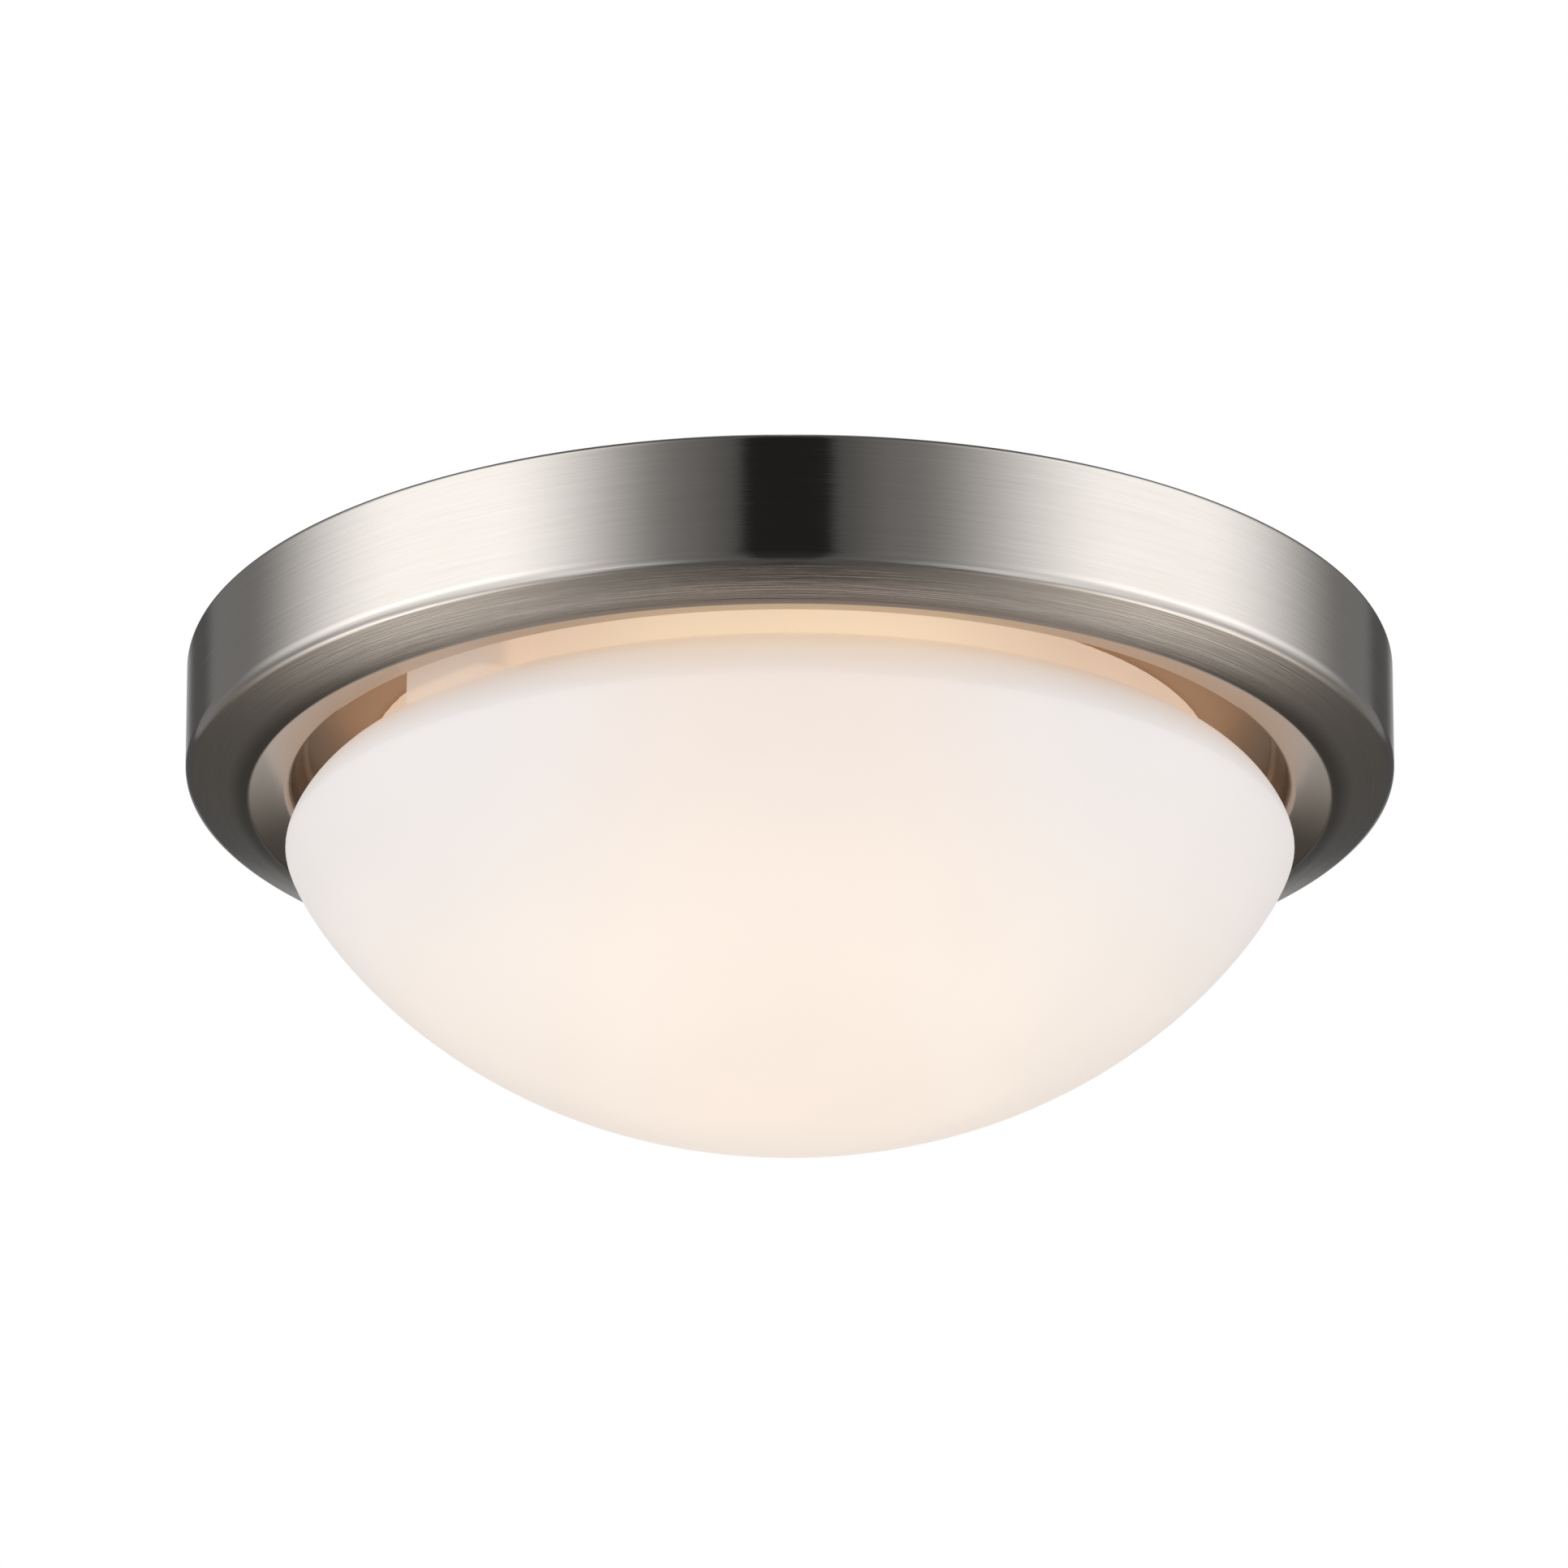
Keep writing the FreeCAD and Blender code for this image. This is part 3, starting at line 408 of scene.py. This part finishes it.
# Each mottled surface: name, colour, its spread, roughness and scale of the clouds
MATERIALS = {
    "brushed_nickel": brushed_nickel(),
    "opal_glass": opal_glass(),
    "zinc_steel": mottled("zinc_steel", (0.62, 0.63, 0.64), 0.10, 0.34, 160.0, Metallic=1.0),
    "spring_steel": mottled("spring_steel", (0.46, 0.46, 0.47), 0.12, 0.30, 220.0, Metallic=1.0),
    "clear_vinyl": mottled(
        "clear_vinyl", (0.78, 0.78, 0.74), 0.04, 0.38, 120.0, Subsurface_Weight=0.3),
    "white_ceramic": mottled(
        "white_ceramic", (0.86, 0.85, 0.82), 0.02, 0.16, 90.0, bump=0.00003, rough_spread=0.04),
    "shell_metal": mottled("shell_metal", (0.72, 0.70, 0.66), 0.08, 0.28, 240.0, Metallic=1.0),
    "contact_brass": mottled("contact_brass", (0.78, 0.58, 0.27), 0.12, 0.30, 260.0, Metallic=1.0),
    "bulb_glass": mottled(
        "bulb_glass", (0.93, 0.92, 0.89), 0.02, 0.34, 70.0, bump=0.00002, rough_spread=0.04),
    "cap_metal": mottled("cap_metal", (0.70, 0.70, 0.68), 0.08, 0.27, 240.0, Metallic=1.0),
    "cap_insulator": mottled(
        "cap_insulator", (0.035, 0.035, 0.040), 0.20, 0.14, 300.0, bump=0.00003, rough_spread=0.05),
    "solder": mottled("solder", (0.58, 0.58, 0.57), 0.16, 0.42, 420.0, bump=0.0002, Metallic=1.0),
    "bushing_plastic": mottled("bushing_plastic", (0.035, 0.035, 0.036), 0.15, 0.45, 500.0),
    "glass_fibre": mottled(
        "glass_fibre", (0.84, 0.76, 0.50), 0.16, 0.92, 260.0, bump=0.0012, rough_spread=0.05),
    "ground_green": mottled("ground_green", (0.07, 0.30, 0.12), 0.18, 0.36, 300.0, Metallic=0.6),
}


def dress_nodes():
    """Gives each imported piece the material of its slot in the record."""
    for part in frame["record"]["subparts"]:
        piece = nodes[part["node"]]
        material = MATERIALS[part["material_slot"]]
        for slot in piece.material_slots:
            slot.material = material
        if not piece.material_slots:
            piece.data.materials.append(material)


# ------------------------------------------------------------------- spun pan
PAN_SHEET = 0.0009
# The outside of the sheet, from its rim on the ceiling round to the plate: radius, Z, bend
PAN_PATH = (
    (0.1620, 0.0, 0.0),
    (0.1660, 0.0, 0.0018),
    (0.1650, -0.0332, 0.0037),
    (0.1565, -0.0357, 0.0800),
    (0.1480, -0.0380, 0.0016),
    (0.1364, -0.0348, 0.0035),
    (0.1337, -0.0224, 0.0022),
    (0.1312, -0.0224, 0.0),
)
PAN_ROUND_STEPS = 360
BEND_STEP = math.radians(7.0)
BEND_STEPS_LEAST = 3
FLAT_MARGIN = 0.12             # how far into a flat its extra rings stand, as a share of it
PLATE_OVERLAP = 0.0001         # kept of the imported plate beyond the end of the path


def rounded_path(path):
    """Points and outward normals along a path whose corners are rounded by their bends."""
    corners = [np.array(corner[:2]) for corner in path]
    points = []
    start = corners[0]
    for index in range(1, len(corners)):
        way = (corners[index] - start) / np.linalg.norm(corners[index] - start)
        normal = np.array((-way[1], way[0]))
        if index == len(corners) - 1:
            points.append((start, normal))
            return points
        ahead = corners[index + 1] - corners[index]
        turn = math.atan2(way[0] * ahead[1] - way[1] * ahead[0], way @ ahead)
        bend = math.copysign(path[index][2], turn)
        end = corners[index] - way * abs(bend) * math.tan(abs(turn) / 2)
        for share in (0.0, FLAT_MARGIN, 1.0 - FLAT_MARGIN, 1.0):
            points.append((start + (end - start) * share, normal))
        centre = end + normal * bend
        steps = max(BEND_STEPS_LEAST, math.ceil(abs(turn) / BEND_STEP))
        for step in range(1, steps + 1):
            cosine, sine = math.cos(turn * step / steps), math.sin(turn * step / steps)
            turned = np.array((normal[0] * cosine - normal[1] * sine,
                               normal[0] * sine + normal[1] * cosine))
            start = centre - turned * bend
            if step < steps:
                points.append((start, turned))


def lathe(strips, steps):
    """Vertices, faces and vertex normals of strips of (radius, Z) points turned round Z."""
    angles = [2 * math.pi * step / steps for step in range(steps)]
    turns = [(math.cos(angle), math.sin(angle)) for angle in angles]
    points, normals, faces = [], [], []
    for strip in strips:
        first = len(points)
        for (radius, height), (out, up) in strip:
            points += [(radius * cosine, radius * sine, height) for cosine, sine in turns]
            normals += [(out * cosine, out * sine, up) for cosine, sine in turns]
        for row in range(first, len(points) - steps, steps):
            for step in range(steps):
                beside = (step + 1) % steps
                faces.append((row + step, row + steps + step, row + steps + beside, row + beside))
    return points, normals, faces


def smooth_piece(name, points, faces, slot):
    """A new smooth piece made of one material, linked to the scene."""
    mesh = bpy.data.meshes.new(name)
    mesh.from_pydata(points, [], faces)
    mesh.polygons.foreach_set("use_smooth", [True] * len(faces))
    mesh.materials.append(MATERIALS[slot])
    piece = bpy.data.objects.new(name, mesh)
    bpy.context.scene.collection.objects.link(piece)
    return piece


def spun_pan():
    """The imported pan's flat plate, with the turned part of the sheet made finer round it."""
    outside = rounded_path(PAN_PATH)
    inside = [(point - normal * PAN_SHEET, -normal) for point, normal in outside]
    edge = [(inside[0][0], (-1.0, 0.0)), (outside[0][0], (-1.0, 0.0))]
    points, normals, faces = lathe([outside, inside[::-1], edge], PAN_ROUND_STEPS)
    corner_normals = [normals[index] for face in faces for index in face]

    packed = nodes["ceiling_pan"].data
    plate_edge = outside[-1][0][0] + PLATE_OVERLAP
    renumbered = {}
    for polygon in packed.polygons:
        spots = [packed.vertices[index].co for index in polygon.vertices]
        if any(spot.xy.length > plate_edge for spot in spots):
            continue
        for index, spot in zip(polygon.vertices, spots):
            if index not in renumbered:
                renumbered[index] = len(points)
                points.append(tuple(spot))
        faces.append(tuple(renumbered[index] for index in polygon.vertices))
        corner_normals += [tuple(packed.corner_normals[loop].vector)
                           for loop in polygon.loop_indices]

    pan = smooth_piece("spun_pan", points, faces, "brushed_nickel")
    pan.data.normals_split_custom_set(corner_normals)
    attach(pan, "fixture")
    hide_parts("ceiling_pan")


# ------------------------------------------------------------- insulation pad
PAD_LOW, PAD_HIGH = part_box("insulation_pad")
PAD_RADIAL_STEPS = 26
PAD_ROUND_STEPS = 220
PAD_EDGE = 0.0022              # how far its rounded edges reach
PAD_EDGE_FLAT = 0.02           # share of that reach which the very edge already has
PAD_BED = 0.0002               # how far its underside stands off the plate
WOOL_DEPTH = 0.0011            # height of the wool's lumps on its top
WOOL_SCALE = 130.0
WOOL_FRACTAL = (0.7, 2.0, 3)   # its roughness, step in scale and number of steps
WOOL_LAYER = Vector((0.0, 0.0, 7.0))  # where its surface cuts the noise
RIVET_POCKET = 0.0044
RIVET_POCKET_HEIGHT = 0.0022
RIVET_APART = 0.003            # vertices nearer than this belong to one rivet
RIVET_TIP = 0.00001            # how far below a dome's end its vertices are counted


def rivet_centres():
    """Where the rivets' domes come to a point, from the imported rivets."""
    centres = []
    for name in ("holder_rivets", "bracket_rivets"):
        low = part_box(name)[0].z
        for vertex in nodes[name].data.vertices:
            if vertex.co.z > low + RIVET_TIP:
                continue
            if all(math.dist(vertex.co.xy, centre) > RIVET_APART for centre in centres):
                centres.append(tuple(vertex.co.xy))
    return centres


def wool_height(spot, side, from_edge, centres):
    """Z of the pad's surface over a spot; side is 1 on top and -1 underneath."""
    rounding = PAD_EDGE * (1.0 - math.sqrt(min(1.0, from_edge / PAD_EDGE + PAD_EDGE_FLAT)))
    if side > 0:
        lump = noise.fractal(spot * WOOL_SCALE + WOOL_LAYER, *WOOL_FRACTAL)
        sink = WOOL_DEPTH * (0.5 + 0.5 * max(-1.0, min(1.0, lump)))
        return PAD_HIGH.z - rounding - sink
    if any(math.dist(spot.xy, centre) < RIVET_POCKET for centre in centres):
        return PAD_LOW.z + RIVET_POCKET_HEIGHT
    return PAD_LOW.z + rounding + PAD_BED


def insulation_pad():
    """A lumpy ring of glass wool with rounded edges, hollow over the rivets' tails."""
    centres = rivet_centres()
    inner = min(vertex.co.xy.length for vertex in nodes["insulation_pad"].data.vertices)
    outer = PAD_HIGH.x
    middle = (inner + outer) / 2
    half = (outer - inner) / 2
    rows = [(middle + half * share, 1) for share in np.linspace(-1.0, 1.0, PAD_RADIAL_STEPS)]
    rows += [(middle + half * share, -1) for share in np.linspace(1.0, -1.0, PAD_RADIAL_STEPS)]
    points = []
    for radius, side in rows:
        from_edge = min(radius - inner, outer - radius)
        for step in range(PAD_ROUND_STEPS):
            angle = 2 * math.pi * step / PAD_ROUND_STEPS
            spot = Vector((radius * math.cos(angle), radius * math.sin(angle), 0.0))
            points.append((spot.x, spot.y, wool_height(spot, side, from_edge, centres)))
    faces = []
    for row in range(len(rows)):
        above = (row + 1) % len(rows)
        for step in range(PAD_ROUND_STEPS):
            beside = (step + 1) % PAD_ROUND_STEPS
            faces.append((
                row * PAD_ROUND_STEPS + step, above * PAD_ROUND_STEPS + step,
                above * PAD_ROUND_STEPS + beside, row * PAD_ROUND_STEPS + beside,
            ))
    pad = smooth_piece("insulation_wool", points, faces, "glass_fibre")
    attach(pad, "fixture")
    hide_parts("insulation_pad")


# --------------------------------------------------------- studio and camera
def softbox_light(net, angle, aside, z):
    """The two softboxes, the walls that they light and the dark card in front."""
    around = net.times(net.window(aside, *WALL_GLOW_ENDS), WALL_GLOW)
    around = net.plus(around, net.times(net.window(angle, *RIGHT_SOFTBOX), RIGHT_SHARE))
    around = net.plus(around, net.window(net.times(angle, -1.0), *LEFT_SOFTBOX))
    level = net.between(z, *SOFTBOX_FOOT, SOFTBOX_LEVEL * SOFTBOX_FOOT_GAIN, SOFTBOX_LEVEL)
    level = net.times(level, net.between(z, *SOFTBOX_BASE, SOFTBOX_BASE_SHARE, 1.0))
    around = net.plus(net.times(around, level), ROOM_LEVEL)
    around = net.blend(net.window(angle, *DARK_CARD), DARK_CARD_LEVEL, around)
    return net.blend(net.window(z, *SOFTBOX_HEIGHT), around, ROOM_LEVEL)


def floor_glow(net, aside, z):
    """The softboxes' soft patch of light on the floor behind."""
    beside = net.over(net.minus(aside, FLOOR_GLOW_ASIDE), FLOOR_GLOW_WIDTH)
    elevation = net.minus(net.math("ARCSINE", z), math.radians(FLOOR_GLOW_ELEVATION))
    above = net.over(elevation, math.radians(FLOOR_GLOW_HEIGHT))
    spread = net.plus(net.times(beside, beside), net.times(above, above))
    return net.times(net.math("EXPONENT", net.times(spread, -0.5)), FLOOR_GLOW_LEVEL)


def mirrored_studio(net, angle, aside, z, below):
    """All that the metal and gloss mirror; below is 1 where the floor lies."""
    mirrored = softbox_light(net, angle, aside, z)
    behind = net.times(net.between(aside, *BACKDROP_EDGE), net.between(z, *BACKDROP_BASE))
    mirrored = net.larger(mirrored, net.times(behind, BACKDROP_LEVEL))
    sweep = net.times(net.between(aside, *SWEEP_EDGE), net.between(z, *SWEEP_FOOT))
    mirrored = net.larger(mirrored, net.times(sweep, SWEEP_LEVEL))
    mirrored = net.plus(mirrored, net.times(below, FLOOR_LEVEL))
    mirrored = net.plus(mirrored, floor_glow(net, aside, z))
    shade = net.times(below, net.between(aside, *FLOOR_SHADE_EDGE, 0.0, FLOOR_SHADE))
    return net.times(mirrored, net.minus(1.0, shade))


def studio_world():
    """White to the camera, plain light on rough surfaces, and the studio in gloss and metal."""
    world = bpy.data.worlds.new("studio")
    bpy.context.scene.world = world
    world.use_nodes = True
    net = Net(world.node_tree)
    background = next(node for node in world.node_tree.nodes if node.type == "BACKGROUND")
    direction = net.node("ShaderNodeTexCoord").outputs["Generated"]
    parts = net.node("ShaderNodeSeparateXYZ")
    net.link(direction, parts.inputs[0])
    x, y, z = parts.outputs
    azimuth = net.math("ARCTAN2", x, net.times(y, -1.0))
    angle = net.times(azimuth, 180.0 / math.pi)
    aside = net.math("ABSOLUTE", angle)
    below = net.between(z, *FLOOR_TOP, 1.0, 0.0)
    mirrored = mirrored_studio(net, angle, aside, z, below)
    plain = net.plus(net.times(y, -PLAIN_FRONT), net.times(x, -PLAIN_LEFT))
    plain = net.plus(plain, PLAIN_LEVEL)

    path = net.node("ShaderNodeLightPath")
    scattered = path.outputs["Is Diffuse Ray"]
    seen = net.larger(path.outputs["Is Camera Ray"], path.outputs["Is Transmission Ray"])
    level = net.blend(seen, 1.0, net.blend(scattered, plain, mirrored))
    net.link(level, background.inputs["Strength"])
    glossy = net.times(net.minus(1.0, seen), net.minus(1.0, scattered))
    tinted = net.times(net.times(below, net.between(aside, *FLOOR_TINT_EDGE)), glossy)
    net.link(net.mix(tinted, (1.0, 1.0, 1.0), FLOOR_TINT), background.inputs["Color"])


def studio_floor():
    """The room's pale floor, far below the light, which fades into the white around it."""
    bpy.ops.mesh.primitive_plane_add(size=FLOOR_SIZE, location=(0, 0, -FLOOR_BELOW))
    floor = bpy.context.object
    floor.name = "floor"
    material, net, shader = new_material("floor_paper", Roughness=PAPER_ROUGHNESS)
    point, *_, radius = place(net)
    clouds = net.noise(point, PAPER_SCALE)
    paper = net.ramp(clouds, NOISE_RANGE[0], PAPER_DARK, NOISE_RANGE[1], PAPER_LIGHT)
    net.link(paper, shader.inputs["Base Color"])
    far = net.node("ShaderNodeEmission")
    camera_ray = net.node("ShaderNodeLightPath").outputs["Is Camera Ray"]
    net.link(net.between(camera_ray, 0.0, 1.0, PLAIN_LEVEL, 1.0), far.inputs["Strength"])
    blend = net.node("ShaderNodeMixShader")
    net.link(net.between(radius, *FLOOR_FADE), blend.inputs[0])
    net.link(shader.outputs[0], blend.inputs[1])
    net.link(far.outputs[0], blend.inputs[2])
    output = next(node for node in material.node_tree.nodes if node.type == "OUTPUT_MATERIAL")
    net.link(blend.outputs[0], output.inputs["Surface"])
    floor.data.materials.append(material)
    floor.visible_glossy = False


def photo_camera():
    """The camera at the photograph's place."""
    data = bpy.data.cameras.new("photo_camera")
    data.sensor_width = SENSOR_MM
    data.lens = LENS_MM
    data.clip_start = NEAREST
    camera = bpy.data.objects.new("photo_camera", data)
    bpy.context.scene.collection.objects.link(camera)
    camera.location = CAMERA_PLACE
    aim = Vector(CAMERA_TARGET) - Vector(CAMERA_PLACE)
    camera.rotation_euler = aim.to_track_quat("-Z", "Y").to_euler()
    bpy.context.scene.camera = camera


photo_camera()
dress_nodes()
spun_pan()
insulation_pad()
studio_world()
studio_floor()
bpy.context.scene.view_settings.view_transform = "Standard"
